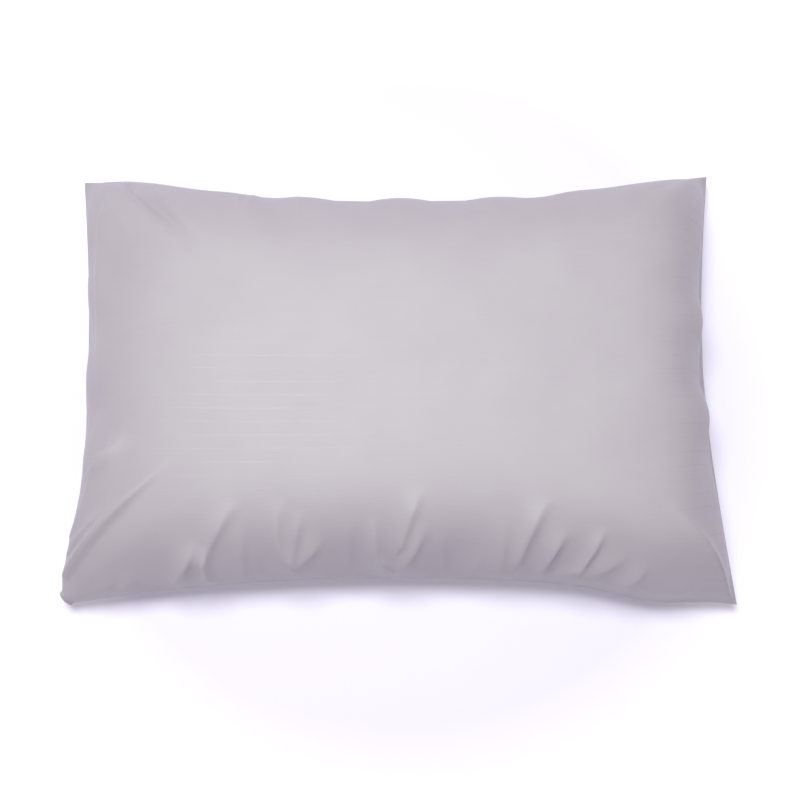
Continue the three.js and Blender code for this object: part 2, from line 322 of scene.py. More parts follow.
def sharpen_shoulders(panels, u, v):
    """A well-filled pillow is flatter on top than the free shape, and rounder at its shoulders."""
    top = panels[0, ..., 2]
    a, b = (1 + u) / 2, (1 + v) / 2
    seam = ((top[:, :1] * (1 - b) + top[:, -1:] * b) * (1 - u * u) * v * v
            + (top[:1] * (1 - a) + top[-1:] * a) * (1 - v * v) * u * u
            + SEAM_HEIGHT_CORNER * u * u * v * v + SEAM_HEIGHT_MID * (1 - u * u) * (1 - v * v))
    seam /= (1 - u * u) * v * v + (1 - v * v) * u * u + u * u * v * v + (1 - u * u) * (1 - v * v)
    rise = np.clip((top - seam) / (CROWN - seam), 0, 1)
    inside = smooth_step(1 - np.maximum(abs(u), abs(v)), 0, SHOULDER_EDGE)
    fuller_ends = (1 + END_FULLNESS * smooth_step(u, *FULLER_ZONE)
                   + MOUTH_FULLNESS * smooth_step(-u, *FULLER_ZONE))
    power = 1 + (SHOULDER_POWER - 1) * (1 - abs(u * v) ** CORNER_RELIEF) * fuller_ends
    fuller = seam + (CROWN - seam) * (1 - (1 - rise) ** power)
    top += (fuller - top) * inside


# --- layers laid along the panels ---
LAYERS_DEPTH = 0.004              # the stack of layers inside the case, at its thickest
NARROWEST_ROOM = 0.12             # share of its depth that a layer keeps where the case closes
EDGE_SHIFT_FADE = 0.08            # from a free edge to where the cloth no longer follows its waves
SHARP_ANGLE = math.radians(60)


def unit(vectors):
    return vectors / (np.linalg.norm(vectors, axis=-1, keepdims=True) + TINY)


def normals_of(grid):
    return unit(np.cross(np.gradient(grid, axis=0), np.gradient(grid, axis=1)))


def catmull_rom(a, b, c, d, f):
    """The curve from b to c, a share f of the way, with a and d as the points before and after."""
    return b + 0.5 * f * (c - a + f * (2 * a - 5 * b + 4 * c - d + f * (3 * (b - c) + d - a)))


def cubic(grid, position):
    """Catmull-Rom interpolation along the first axis, at fractional grid positions."""
    last = grid.shape[0] - 1
    i = np.clip(position.astype(int), 0, last - 1)
    f = (position - i)[:, None, None]
    return catmull_rom(grid[np.maximum(i - 1, 0)], grid[i], grid[i + 1], grid[np.minimum(i + 2, last)], f)


class Patch:
    """A rectangle of the case in cut coordinates, in metres from its middle, with the surfaces there.

    edge_shift moves the points of the first row along the length, for an edge that isn't straight.
    crowding brings the cells closer together towards the near seam, for finer folds there. An inner
    layer isn't folded: it follows the front as it was before its folds.
    """

    def __init__(self, length, width, cells, edge_shift=None, crowding=0.0, folded=True):
        s, t = np.linspace(*length, cells[0] + 1), np.linspace(*width, cells[1] + 1)
        share = np.linspace(0, 1, cells[1] + 1)
        t = t - crowding * (width[1] - width[0]) * np.sin(math.pi * share) * (0.5 + 0.5 * share)
        self.s, self.t = np.meshgrid(s, t, indexing="ij")
        if edge_shift is not None:
            fade = np.clip(1 - (s - s[0]) / EDGE_SHIFT_FADE, 0, 1)[:, None] ** 2
            self.s = self.s + fade * edge_shift(t)[None]
        self.front = self.sample(front if folded else smooth_front)
        self.back = self.sample(back)
        self.front_normal = unit(self.sample(front_normal if folded else smooth_normal))
        self.back_normal = unit(self.sample(back_normal))
        self.middle = (self.front + self.back) / 2
        self.gap = np.linalg.norm(self.front - self.back, axis=-1, keepdims=True)
        self.room = np.clip(self.gap / (2 * LAYERS_DEPTH), NARROWEST_ROOM, 1)

    def sample(self, grid):
        rows, columns = grid.shape[0] - 1, grid.shape[1] - 1
        i = np.clip((self.s / CUT_LENGTH + 0.5) * rows, 0, rows)
        j = np.clip((self.t[0] / CUT_WIDTH + 0.5) * columns, 0, columns)
        across = np.swapaxes(cubic(np.swapaxes(grid, 0, 1), j), 0, 1)
        k = np.clip(i.astype(int), 0, rows - 1)
        f = (i - k)[..., None]
        at = np.arange(len(j))[None]
        before, after = np.maximum(k - 1, 0), np.minimum(k + 2, rows)
        return catmull_rom(across[before, at], across[k, at], across[k + 1, at], across[after, at], f)

    def along_front(self, height):
        """The front surface raised by height, less where the case closes towards its seams."""
        return self.front + self.front_normal * np.asarray(height)[..., None] * self.room

    def along_back(self, height):
        return self.back + self.back_normal * np.asarray(height)[..., None] * self.room


def closed_sheet(name, outer, inner, cut_s, cut_t):
    """A closed mesh between two grids of points, with a UV map of its cut coordinates in metres."""
    rows, columns = outer.shape[:2]
    count = rows * columns
    index = np.arange(count).reshape(rows, columns)
    a, b = index[:-1, :-1], index[1:, :-1]
    c, d = index[1:, 1:], index[:-1, 1:]
    top = np.stack([a, b, c, d], -1).reshape(-1, 4)
    bottom = top[:, ::-1] + count
    rim = np.concatenate([index[:-1, 0], index[-1, :-1], index[:0:-1, -1], index[0, :0:-1]])
    after = np.roll(rim, -1)
    wall = np.stack([rim, rim + count, after + count, after], -1)
    points = np.concatenate([outer.reshape(-1, 3), inner.reshape(-1, 3)])
    if np.cross(outer[1, 0] - outer[0, 0], outer[0, 1] - outer[0, 0]) @ (outer[0, 0] - inner[0, 0]) < 0:
        top, bottom, wall = (faces[:, ::-1] for faces in (top, bottom, wall))
    cut = np.stack([cut_s, cut_t], -1).reshape(-1, 2)
    return mesh_object(name, points, np.concatenate([top, bottom, wall]), np.concatenate([cut, cut]))


def mesh_object(name, points, faces, cut=None):
    mesh = bpy.data.meshes.new(name)
    mesh.from_pydata(points.tolist(), [], faces.tolist())
    if cut is not None:
        corners = np.empty(len(mesh.loops), dtype=np.int64)
        mesh.loops.foreach_get("vertex_index", corners)
        mesh.uv_layers.new(name="cut").data.foreach_set("uv", cut[corners].ravel())
    mesh.shade_smooth()
    mesh.set_sharp_from_angle(angle=SHARP_ANGLE)
    piece = bpy.data.objects.new(name, mesh)
    bpy.context.scene.collection.objects.link(piece)
    return piece


# --- materials ---
PLUM = (0.453, 0.428, 0.461)
LILAC = (0.474, 0.452, 0.483)
PALE = (0.66, 0.64, 0.68)
SHADE = (0.30, 0.26, 0.32)        # painted shade on the stripe lines, over the shoulder of the closed end
SATEEN_THREAD = 0.0007            # from one thread to the next
TICKING_THREAD = 0.0009
TAPE_THREAD = 0.0005
GLINT_SPOT = (-0.155, -0.055, 0)    # middle of the painted highlight on the stripes, in cut coordinates
GLINT_REACH = (0.03, 0.12)
STRIPE_SHADE_LENGTH = (0.27, 0.34)    # in cut coordinates, towards the closed end
STRIPE_LINE = (0.0002, 0.0006)    # half-width of a stripe, bright and faded out
SHADED_STRIPE_LINE = (0.0002, 0.0010)


class Nodes:
    """Short calls for building a material's nodes."""

    def __init__(self, name):
        self.material = bpy.data.materials.new(name)
        self.material.use_nodes = True
        self.tree = self.material.node_tree
        self.shader = self.tree.nodes["Principled BSDF"]

    def add(self, kind, inputs=None, **settings):
        node = self.tree.nodes.new("ShaderNode" + kind)
        for key, value in settings.items():
            setattr(node, key, value)
        for key, value in (inputs or {}).items():
            self.set(node.inputs[key], value)
        return node

    def set(self, socket, value):
        if isinstance(value, bpy.types.NodeSocket):
            self.tree.links.new(value, socket)
        else:
            socket.default_value = value

    def math(self, operation, *values):
        node = self.add("Math", operation=operation)
        for socket, value in zip(node.inputs, values):
            self.set(socket, value)
        return node.outputs[0]

    def mix(self, factor, a, b):
        node = self.add("Mix", data_type="RGBA")
        for socket, value in zip((node.inputs[0], node.inputs[6], node.inputs[7]), (factor, a, b)):
            self.set(socket, value)
        return node.outputs[2]

    def noise(self, vector, scale, detail=2.0, stretch=(1, 1, 1)):
        mapped = self.add("Mapping", {"Vector": vector, "Scale": stretch}).outputs[0]
        return self.add("TexNoise", {"Vector": mapped, "Scale": scale, "Detail": detail}).outputs[0]

    def ramp(self, value, low, high, to_low=0.0, to_high=1.0):
        inputs = {"Value": value, "From Min": low, "From Max": high, "To Min": to_low, "To Max": to_high}
        return self.add("MapRange", inputs).outputs[0]

    def bump(self, height, distance, strength=1.0, normal=None):
        node = self.add("Bump", {"Height": height, "Distance": distance, "Strength": strength})
        if normal is not None:
            self.set(node.inputs["Normal"], normal)
        return node.outputs[0]


def weave_height(nodes, cut, pitch, warp_share):
    """Threads over and under each other: fine ribs along and across the cloth."""
    axes = nodes.add("SeparateXYZ", {"Vector": cut})
    along = nodes.math("SINE", nodes.math("MULTIPLY", axes.outputs[1], 2 * math.pi / pitch))
    across = nodes.math("SINE", nodes.math("MULTIPLY", axes.outputs[0], 2 * math.pi / pitch))
    return nodes.math("ADD", nodes.math("MULTIPLY", along, warp_share),
                      nodes.math("MULTIPLY", across, 1 - warp_share))


def sateen_material():
    """Lilac-grey cotton sateen with a thin satin stripe woven in along its length."""
    nodes = Nodes("lilac_striped_sateen")
    cut = nodes.add("UVMap", uv_map="cut").outputs[0]
    length, width = nodes.add("SeparateXYZ", {"Vector": cut}).outputs[:2]

    # the woven stripe: 1 on its thin line, 0 between
    place = nodes.math("FRACT", nodes.math("DIVIDE", width, STRIPE_PITCH))
    off_middle = nodes.math("ABSOLUTE", nodes.math("SUBTRACT", place, 0.5))
    off_line = nodes.math("MULTIPLY", off_middle, STRIPE_PITCH)
    stripe = nodes.ramp(off_line, *STRIPE_LINE, 1.0, 0.0)
    # painted highlight: the stripe shows brightest round one spot on the shoulder towards the mouth, where
    # the satin would catch the light
    apart = nodes.add("VectorMath", {0: cut, 1: GLINT_SPOT}, operation="DISTANCE").outputs["Value"]
    painted_glint = nodes.ramp(apart, *GLINT_REACH, 1.0, 0.15)
    broken = nodes.ramp(nodes.noise(cut, 30.0, 2.0, (0.4, 2, 1)), 0.4, 0.6, 0.25, 1.0)
    stripe = nodes.math("MULTIPLY", nodes.math("MULTIPLY", stripe, painted_glint), broken)

    # slubs: single threads a little lighter or darker than the rest
    slub = nodes.noise(cut, 900.0, 1.0, (0.03, 1, 1))
    mottle = nodes.noise(cut, 14.0, 3.0)
    base = nodes.mix(nodes.ramp(mottle, 0.3, 0.7), (*PLUM, 1), (*LILAC, 1))
    base = nodes.mix(nodes.ramp(slub, 0.2, 0.8, 0.0, 0.10), base, (*PALE, 1))
    # painted highlight: the stripe, brightest round the glint spot, lightens the colour towards PALE
    base = nodes.mix(nodes.math("MULTIPLY", stripe, 0.2), base, (*PALE, 1))
    # painted shade: the stripe lines darkened over the shoulder of the closed end, where the satin turns away
    # from the light
    painted_stripe_shade = nodes.math("MULTIPLY", nodes.ramp(length, *STRIPE_SHADE_LENGTH, 0.0, 0.28), broken)
    shaded_stripe = nodes.math("MULTIPLY", nodes.ramp(off_line, *SHADED_STRIPE_LINE, 1.0, 0.0), painted_stripe_shade)
    base = nodes.mix(shaded_stripe, base, (*SHADE, 1))
    nodes.set(nodes.shader.inputs["Base Color"], base)

    satin = nodes.math("MULTIPLY", stripe, 0.12)
    rough = nodes.math("SUBTRACT", nodes.ramp(slub, 0.2, 0.8, 0.46, 0.56), satin)
    nodes.set(nodes.shader.inputs["Roughness"], rough)
    weave = weave_height(nodes, cut, SATEEN_THREAD, 0.7)
    fine = nodes.bump(weave, 0.00004, 0.6)
    ribs = nodes.bump(slub, 0.00012, 0.5, fine)
    nodes.set(nodes.shader.inputs["Normal"], nodes.bump(stripe, 0.00006, 0.5, ribs))
    nodes.shader.inputs["Sheen Weight"].default_value = 0.10
    nodes.shader.inputs["Sheen Roughness"].default_value = 0.4
    nodes.shader.inputs["Sheen Tint"].default_value = (0.95, 0.93, 1.0, 1)
    nodes.shader.inputs["Specular IOR Level"].default_value = 0.45
    return nodes.material


def ticking_material():
    """White plain-weave cotton, a little uneven."""
    nodes = Nodes("white_cotton_ticking")
    cut = nodes.add("UVMap", uv_map="cut").outputs[0]
    slub = nodes.noise(cut, 700.0, 1.0, (0.05, 1, 1))
    mottle = nodes.noise(cut, 10.0, 3.0)
    base = nodes.mix(nodes.ramp(mottle, 0.3, 0.7), (0.78, 0.765, 0.73, 1), (0.84, 0.83, 0.80, 1))
    base = nodes.mix(nodes.ramp(slub, 0.3, 0.8, 0.0, 0.2), base, (0.70, 0.685, 0.65, 1))
    nodes.set(nodes.shader.inputs["Base Color"], base)
    nodes.set(nodes.shader.inputs["Roughness"], nodes.ramp(slub, 0.2, 0.8, 0.72, 0.88))
    weave = nodes.bump(weave_height(nodes, cut, TICKING_THREAD, 0.5), 0.00007, 0.7)
    nodes.set(nodes.shader.inputs["Normal"], nodes.bump(slub, 0.0001, 0.5, weave))
    nodes.shader.inputs["Sheen Weight"].default_value = 0.15
    return nodes.material


def fibre_material():
    """Loose white polyester fibre."""
    nodes = Nodes("polyester_fibre")
    place = nodes.add("TexCoord").outputs["Object"]
    wisps = nodes.noise(place, 140.0, 6.0, (1, 0.4, 1))
    nodes.set(nodes.shader.inputs["Base Color"],
              nodes.mix(nodes.ramp(wisps, 0.3, 0.7), (0.80, 0.80, 0.80, 1), (0.92, 0.92, 0.92, 1)))
    nodes.set(nodes.shader.inputs["Roughness"], nodes.ramp(wisps, 0.2, 0.8, 0.85, 1.0))
    nodes.set(nodes.shader.inputs["Normal"], nodes.bump(wisps, 0.002, 0.8))
    nodes.shader.inputs["Sheen Weight"].default_value = 0.4
    return nodes.material


def label_material():
    """Blank woven satin tape."""
    nodes = Nodes("satin_label_tape")
    cut = nodes.add("UVMap", uv_map="cut").outputs[0]
    ribs = weave_height(nodes, cut, TAPE_THREAD, 0.85)
    base = nodes.mix(nodes.ramp(ribs, -1, 1), (0.80, 0.79, 0.77, 1), (0.86, 0.85, 0.83, 1))
    nodes.set(nodes.shader.inputs["Base Color"], base)
    nodes.set(nodes.shader.inputs["Roughness"], nodes.ramp(ribs, -1, 1, 0.5, 0.35))
    nodes.set(nodes.shader.inputs["Normal"], nodes.bump(ribs, 0.00004, 0.6))
    return nodes.material


def floor_material():
    """White, and a little luminous away from the pillow, like a lit studio sweep."""
    nodes = Nodes("white_floor")
    place = nodes.add("TexCoord").outputs["Object"]
    nodes.set(nodes.shader.inputs["Roughness"], nodes.ramp(nodes.noise(place, 30.0), 0, 1, 0.7, 0.8))
    nodes.shader.inputs["Base Color"].default_value = (0.79, 0.79, 0.92, 1)
    nodes.shader.inputs["Emission Color"].default_value = (1, 1, 1, 1)
    from_middle = nodes.add("VectorMath", {0: place}, operation="LENGTH").outputs["Value"]
    nodes.set(nodes.shader.inputs["Emission Strength"], nodes.ramp(from_middle, 0.38, 0.60, 0.15, 0.50))
    return nodes.material


# --- folds ---
MM = 1000                         # millimetres in a metre: folds are given in millimetres and degrees
ARC_STEPS = 23
STEEP_SHARE = 0.85                # of a fold's half-width, on its steep side
GENTLE_SHARE = 1.7
FOLD_START_WIDTH = 0.8            # share of its half-width that a fold has where it starts
FOLD_WIDENING = 0.4
FOLD_FADE_IN = (-0.5, 0.1)        # along a fold: it starts part-way up, as the seam holds it
FOLD_FADE_OUT = 0.6
CREST_POWER = 1.5                 # between a pointed crest at 1 and a round one at 2
FOLD_REACH = 5                    # half-widths from its line at which a fold has died out
FOLD_RELIEF = 2.5
UPRIGHT_ZONE = 0.05               # from a seam to where folds rise along the cloth's normals
SEAM_FADE = 0.010
GATHER_CLEAR = 25                 # mm at each corner without gathers
GATHER_START = 2                  # mm in from the seam
GATHER_UNEVENNESS = 0.4           # share of their spacing
GATHER_SLANT = 0.4
GATHER_WIDTHS = (4, 8)


def arc(start, heading, length, bend):
    """Points, in metres, along an arc that leaves start at a heading and turns evenly by bend."""
    turned = np.radians(heading + bend * (np.arange(ARC_STEPS) + 0.5) / ARC_STEPS)
    steps = np.stack([np.cos(turned), np.sin(turned)], -1) * length / ARC_STEPS
    return np.concatenate([[start], start + np.cumsum(steps, axis=0)]) / MM


def fold(place, line, width, height, lean):
    """The height of one fold: a crest, gentle on one side, steep on the other, narrow where it starts."""
    start, step = line[:-1], np.diff(line, axis=0)
    to_point = place[..., None, :] - start
    share = np.clip((to_point * step).sum(-1) / (step * step).sum(-1), 0, 1)
    distance = np.linalg.norm(to_point - share[..., None] * step, axis=-1)
    nearest = distance.argmin(-1)[..., None]
    left = np.sign(step[:, 0] * to_point[..., 1] - step[:, 1] * to_point[..., 0])
    distance, share, left = (np.take_along_axis(x, nearest, -1)[..., 0] for x in (distance, share, left))
    along = (nearest[..., 0] + share) / len(step)
    q = distance / (width / MM * (FOLD_START_WIDTH + FOLD_WIDENING * along))
    q /= np.select([left * lean < 0, left * lean > 0], [STEEP_SHARE, GENTLE_SHARE], 1)
    ends = smooth_step(along, *FOLD_FADE_IN) * smooth_step(1 - along, 0, FOLD_FADE_OUT)
    return height / MM * ends * np.exp(-q ** CREST_POWER)


def add_folds(panel, folds, outwards):
    """Raises the panel by the folds: along its normals, but upright by its seams, where they die out."""
    rows, columns = panel.shape[:2]
    i, j = np.arange(rows)[:, None], np.arange(columns)[None]
    cells_in = np.minimum(np.minimum(i, rows - 1 - i), np.minimum(j, columns - 1 - j))
    to_seam = cells_in * CUT_LENGTH / (rows - 1)
    place = panel[..., :2].copy()
    height = np.zeros((rows, columns))
    for start, heading, length, bend, width, high, lean in folds:
        line = arc(start, heading, length, bend)
        reach = FOLD_REACH * width / MM
        near = ((place > line.min(0) - reach) & (place < line.max(0) + reach)).all(-1)
        height[near] += fold(place[near], line, width, high * FOLD_RELIEF, lean)
    inside = smooth_step(to_seam, 0, UPRIGHT_ZONE)[..., None]
    direction = normals_of(panel) * outwards * inside + np.array([0, 0, outwards]) * (1 - inside)
    panel += direction * (height * smooth_step(to_seam, 0, SEAM_FADE))[..., None]


def gathers(side, count, seed, reach=(18, 50), height=(0.3, 0.8)):
    """Small straight folds that run in from one seam, unevenly spaced."""
    rng = np.random.default_rng(seed)
    along = {"near": 0, "far": 0, "mouth": 1, "end": 1}[side]
    half, other = CASE_HIGH[along] * MM - GATHER_CLEAR, CASE_HIGH[1 - along] * MM
    sign = -1 if side in ("near", "mouth") else 1
    for place in np.linspace(-half, half, count):
        place += rng.uniform(-GATHER_UNEVENNESS, GATHER_UNEVENNESS) * 2 * half / count
        deep, slant = rng.uniform(*reach), rng.uniform(-GATHER_SLANT, GATHER_SLANT)
        pulled = other - MM * PULL_IN[side] * (1 - (place / (half + GATHER_CLEAR)) ** 2)
        start = (place, sign * (pulled - GATHER_START))
        onwards = (slant * deep, -sign * (deep - GATHER_START))
        if along:
            start, onwards = start[::-1], onwards[::-1]
        heading = math.degrees(math.atan2(onwards[1], onwards[0]))
        width, high = rng.uniform(*GATHER_WIDTHS), rng.uniform(*height) * rng.choice((-1, 1))
        yield start, heading, math.hypot(*onwards), 0, width, high, 0


# Each fold of the front panel, in millimetres and degrees, as seen from above: where it starts, its heading
# there (0 towards the closed end, 90 towards the far seam), its length, how far it turns to the left, its
# half-width, its height, and its lean: 1 is steep on the right of the fold, -1 on the left.
MOUTH_CORNER_FOLDS = (
    ((-355, -220), 43, 180, -3, 5, 3.6, 1),
    ((-350, -198), 40, 110, -5, 3, 1.5, 1),
    ((-344, -180), 60, 140, 5, 7, 2.8, -1),
    ((-325, 170), -88, 225, 3, 7, 2.4, 1),
    ((-330, -110), 70, 65, 15, 3, 1.5, -1),
    ((-324, -122), 35, 65, 20, 5, 3.0, -1),
    ((-320, -240), 32, 28, 5, 5, 1.8, 1),
    ((-294, -237), 35, 28, 5, 5, 2.6, 1),
)
NEAR_SEAM_FOLDS = (
    ((-240, -240), 57, 65, -3, 6, 6.0, 1),
    ((-195, -240), 105, 50, -25, 5.5, 6.5, 1),
    ((-200, -205), 57, 70, -3, 7, 2.6, 1),
    ((-163, -227), 82, 60, 10, 6, 1.6, 1),
    ((-110, -212), 130, 70, -75, 6.5, 2.0, 1),
    ((-108, -206), 80, 50, -10, 5.5, 1.6, 1),
    ((-108, -216), 38, 50, 8, 5, 2.2, 1),
    ((-144, -220), 102, 30, 5, 5, 0.9, 1),
    ((-50, -208), 92, 45, -3, 7, 0.9, 1),
    ((-12, -220), 117, 58, -30, 5.5, 2.8, 1),
    ((-6, -216), 135, 20, -5, 2.5, 2.2, 1),
    ((0, -220), 45, 60, 28, 5, 2.6, 1),
    ((4, -193), 70, 62, -5, 6, 1.7, 1),
    ((50, -216), 100, 45, -5, 6, 0.7, 1),
    ((80, -224), 68, 28, 3, 6, 1.0, 1),
    ((108, -225), 90, 70, -5, 7, 1.3, 1),
    ((125, -208), 73, 72, -23, 7, 2.6, 1),
    ((151, -220), 72, 50, -28, 5.5, 3.2, 1),
    ((189, -217), 58, 48, 3, 4.5, 2.8, 1),
    ((145, -229), 8, 65, 22, 4.5, 2.6, 1),
    ((182, -231), 20, 67, 14, 6, 3.0, 1),
    ((233, -240), 38, 40, 20, 6, 4.2, 1),
    ((280, -248), 12, 52, 28, 6, 1.6, 1),
)
END_CORNER_FOLDS = (
    ((361, -243), 131, 135, 5, 8, 4.2, 1),
    ((351, 240), 232, 160, -25, 6, 1.4, 1),
    ((325, 212), 215, 128, -16, 7, 1.6, -1),
    ((343, 238), 247, 70, 2, 3, 1.0, -1),
    ((344, 210), 260, 40, 0, 4, 0.8, 1),
    ((346, -9), 193, 46, 15, 5, -1.0, 0),
)
FAR_SEAM_FOLDS = (
    ((-325, 213), -42, 142, -3, 8, 2.0, -1),
    ((-260, 184), -50, 84, 10, 8, 1.6, 1),
    ((-331, 205), -57, 97, 4, 7, 0.9, -1),
    ((-175, 196), -88, 47, 3, 6, 1.3, 1),
    ((-164, 208), -83, 70, -20, 6, 1.0, 1),
    ((61, 193), -80, 68, 20, 9, 0.8, -1),
    ((-110, 194), -88, 60, 15, 8, 0.6, -1),
    ((163, 191), -85, 52, 50, 8, 0.7, -1),
    ((-28, 186), -75, 44, -35, 8, 0.5, 1),
)
# the dents that go through to the insert
DENTS = (
    ((-300, 213), -45, 130, 0, 10, -3.6, -1),
    ((306, 208), 216, 118, -15, 8, -2.0, 1),
)
FRONT_FOLDS = MOUTH_CORNER_FOLDS + NEAR_SEAM_FOLDS + END_CORNER_FOLDS + FAR_SEAM_FOLDS


# --- the case ---
panels = blown_up_case()
fit_outline(panels)
fit_heights(panels)
add_folds(panels[0], DENTS, 1)
smooth_front = panels[0].copy()
add_folds(panels[0], FRONT_FOLDS, 1)
BACK_FOLDS = [
    *gathers("near", 15, 21),
    *gathers("far", 14, 22, height=(0.1, 0.3)),
    *gathers("mouth", 8, 23),
    *gathers("end", 9, 24),
]
add_folds(panels[1], BACK_FOLDS, -1)
front, back = panels
front_normal = normals_of(front)
back_normal = -normals_of(back)
smooth_normal = normals_of(smooth_front)

END = CUT_LENGTH / 2
SIDE = CUT_WIDTH / 2
FREE_EDGE = -END + MOUTH_SETBACK
FRONT_CELLS = (368, 134)          # of the mesh, crowded together towards the near seam
FRONT_CROWDING = 0.22
BACK_CELLS = (240, 160)
FLAP_CELLS = (52, 160)
MOUTH_HEM_CELLS = (10, 160)
FLAP_HEM_CELLS = (5, 150)
LONG_SEAM_CELLS = (200, 4)
SHORT_SEAM_CELLS = (4, 130)

GAPE = 0.145                      # where along the mouth the free edge stands open
GAPE_REACH = 0.036
GAPE_SETBACK = 0.011
CLOSED_MIDDLE = 0.13                # the middle and the reach of the stretch that isn't pulled closed
CLOSED_REACH = 0.09
CLOSED_SHIFT = 0.006              # how much nearer the mouth fold the edge lies outside that stretch
EDGE_RIPPLE = 0.0008
EDGE_RIPPLES = 71                 # radians in a metre
STACK = 0.0015                    # the front panel's rise where it lies on the flap
STACK_FADE = (0.03, 0.12)         # from the free edge
HEM_STEP = 0.0002                 # the front panel's rise over its own hem
HEM_EDGE = 0.001
FLARE = 0.0045                    # the free edge's rise where it stands open
FLARE_DEPTH = 0.014
FLARE_REACH = 0.040


def free_edge_wave(t):
    """How far the front panel's free edge strays from straight, along the mouth."""
    open_part = np.exp(-((t - GAPE) / GAPE_REACH) ** 2)
    closed_part = 1 - np.exp(-((t - CLOSED_MIDDLE) / CLOSED_REACH) ** 4)
    ripple = EDGE_RIPPLE * np.sin(t * EDGE_RIPPLES)
    return GAPE_SETBACK * open_part - CLOSED_SHIFT * closed_part + ripple


def front_lift(s, t):
    """The front panel's height over the flap that it lies on, near the mouth."""
    from_edge = s - FREE_EDGE
    stacked = STACK * (1 - smooth_step(from_edge, *STACK_FADE))
    hem_step = HEM_STEP * (1 - smooth_step(from_edge, MOUTH_HEM_WIDTH - HEM_EDGE, MOUTH_HEM_WIDTH + HEM_EDGE))
    flare = 1 - smooth_step(from_edge, 0, FLARE_DEPTH)
    return stacked + hem_step + FLARE * flare * np.exp(-((t - GAPE) / FLARE_REACH) ** 2)


def flap_depth(s):
    """The flap's height against the front surface: it sinks where the front panel comes down to it."""
    return -LAYER_CLEARANCE - STACK * smooth_step(s - FREE_EDGE, *STACK_FADE)


def layer_under_front(name, patch, height, thickness):
    """A layer whose outer face lies at a height over the front surface, below it if negative."""
    outer, inner = patch.along_front(height), patch.along_front(height - thickness)
    return closed_sheet(name, outer, inner, patch.s, patch.t)


def case_front():
    patch = Patch((FREE_EDGE, END), (-SIDE, SIDE), FRONT_CELLS, free_edge_wave, FRONT_CROWDING)
    lift = front_lift(patch.s, patch.t)
    rise = np.array([0, 0, SEAM_GAP])
    outer, inner = patch.along_front(lift) + rise, patch.along_front(lift - PANEL_THICKNESS) + rise
    return closed_sheet("pillowcase_front", outer, inner, patch.s, patch.t)


def case_back():
    patch = Patch((-END, END), (-SIDE, SIDE), BACK_CELLS)
    outer = patch.along_back(np.zeros_like(patch.s))
    inner = patch.along_back(np.full_like(patch.s, -PANEL_THICKNESS))
    inner[..., 2] = np.maximum(inner[..., 2], PANEL_THICKNESS)
    return closed_sheet("pillowcase_back", outer, inner, patch.s, patch.t)


def tuck_flap():
    patch = Patch((-END, -END + FLAP_DEPTH), (-SIDE, SIDE), FLAP_CELLS, folded=False)
    return layer_under_front("tuck_flap", patch, flap_depth(patch.s), PANEL_THICKNESS)


def mouth_hem():
    patch = Patch((FREE_EDGE, FREE_EDGE + MOUTH_HEM_WIDTH), (-SIDE, SIDE), MOUTH_HEM_CELLS, free_edge_wave)
    under = front_lift(patch.s, patch.t) - PANEL_THICKNESS - LAYER_CLEARANCE
    return layer_under_front("mouth_hem", patch, under, HEM_THICKNESS)


def flap_hem():
    length = -END + FLAP_DEPTH - FLAP_HEM_WIDTH, -END + FLAP_DEPTH
    width = -SIDE + SEAM_ALLOWANCE, SIDE - SEAM_ALLOWANCE
    patch = Patch(length, width, FLAP_HEM_CELLS, folded=False)
    under = flap_depth(patch.s) - PANEL_THICKNESS - LAYER_CLEARANCE
    return layer_under_front("flap_hem", patch, under, HEM_THICKNESS)


def seam_allowance(name, length, width, cells):
    """The two allowances of a seam, laid flat together inside the case."""
    patch = Patch(length, width, cells)
    half = np.array([0, 0, HEM_THICKNESS / 2])
    return closed_sheet(name, patch.middle + half, patch.middle - half, patch.s, patch.t)


EDGE_CLEAR = 0.0012               # from the sewn edge to the seam allowances inside it
long_seam = (-END + EDGE_CLEAR, END - EDGE_CLEAR)
short_seam = (-SIDE + SEAM_ALLOWANCE + EDGE_CLEAR, SIDE - SEAM_ALLOWANCE - EDGE_CLEAR)

pillowcase_front = case_front()
pillowcase_back = case_back()
flap = tuck_flap()
front_hem = mouth_hem()
hem_of_flap = flap_hem()
side_seam_near = seam_allowance(
    "side_seam_near", long_seam, (-SIDE + EDGE_CLEAR, -SIDE + SEAM_ALLOWANCE), LONG_SEAM_CELLS)
side_seam_far = seam_allowance(
    "side_seam_far", long_seam, (SIDE - SEAM_ALLOWANCE, SIDE - EDGE_CLEAR), LONG_SEAM_CELLS)
end_seam = seam_allowance(
    "end_seam", (END - SEAM_ALLOWANCE, END - EDGE_CLEAR), short_seam, SHORT_SEAM_CELLS)
mouth_seam = seam_allowance(
    "mouth_seam", (-END + EDGE_CLEAR, -END + SEAM_ALLOWANCE), short_seam, SHORT_SEAM_CELLS)


# --- the insert ---
RIM_ROUNDING = 0.034
PUCKER = 0.0012                   # how deep the ticking puckers along its seams
PUCKER_REACH = 0.022
PUCKERS_ALONG, PUCKERS_ACROSS = 290, 270      # radians of their waves in a metre
TICKING_CELLS = (180, 120)
TICKING_FLOOR = 0.0012            # lowest that the ticking lies, on the case's back panel
FILL_CELLS = (120, 80)
FILL_GAP = 0.0004                 # between the ticking and the fibre
FILL_FLOOR = 0.0024
FILL_LUMPS = 0.0006
LUMP_LIMIT = 0.0014
FILL_INSET = 0.0016
FULL_GAP = 0.1                    # from panel to panel, where the inset is complete
LEAST_FILL = 0.0002               # half the fibre's thickness at its rim
PIPING_CORNER = 0.014
PIPING_STEP = 0.004
PIPING_SIDES = 12
PIPING_UNEVENNESS = 0.04          # share of its radius
PIPING_WAVES = 900                # radians in a metre
CORNER_STEPS = 9


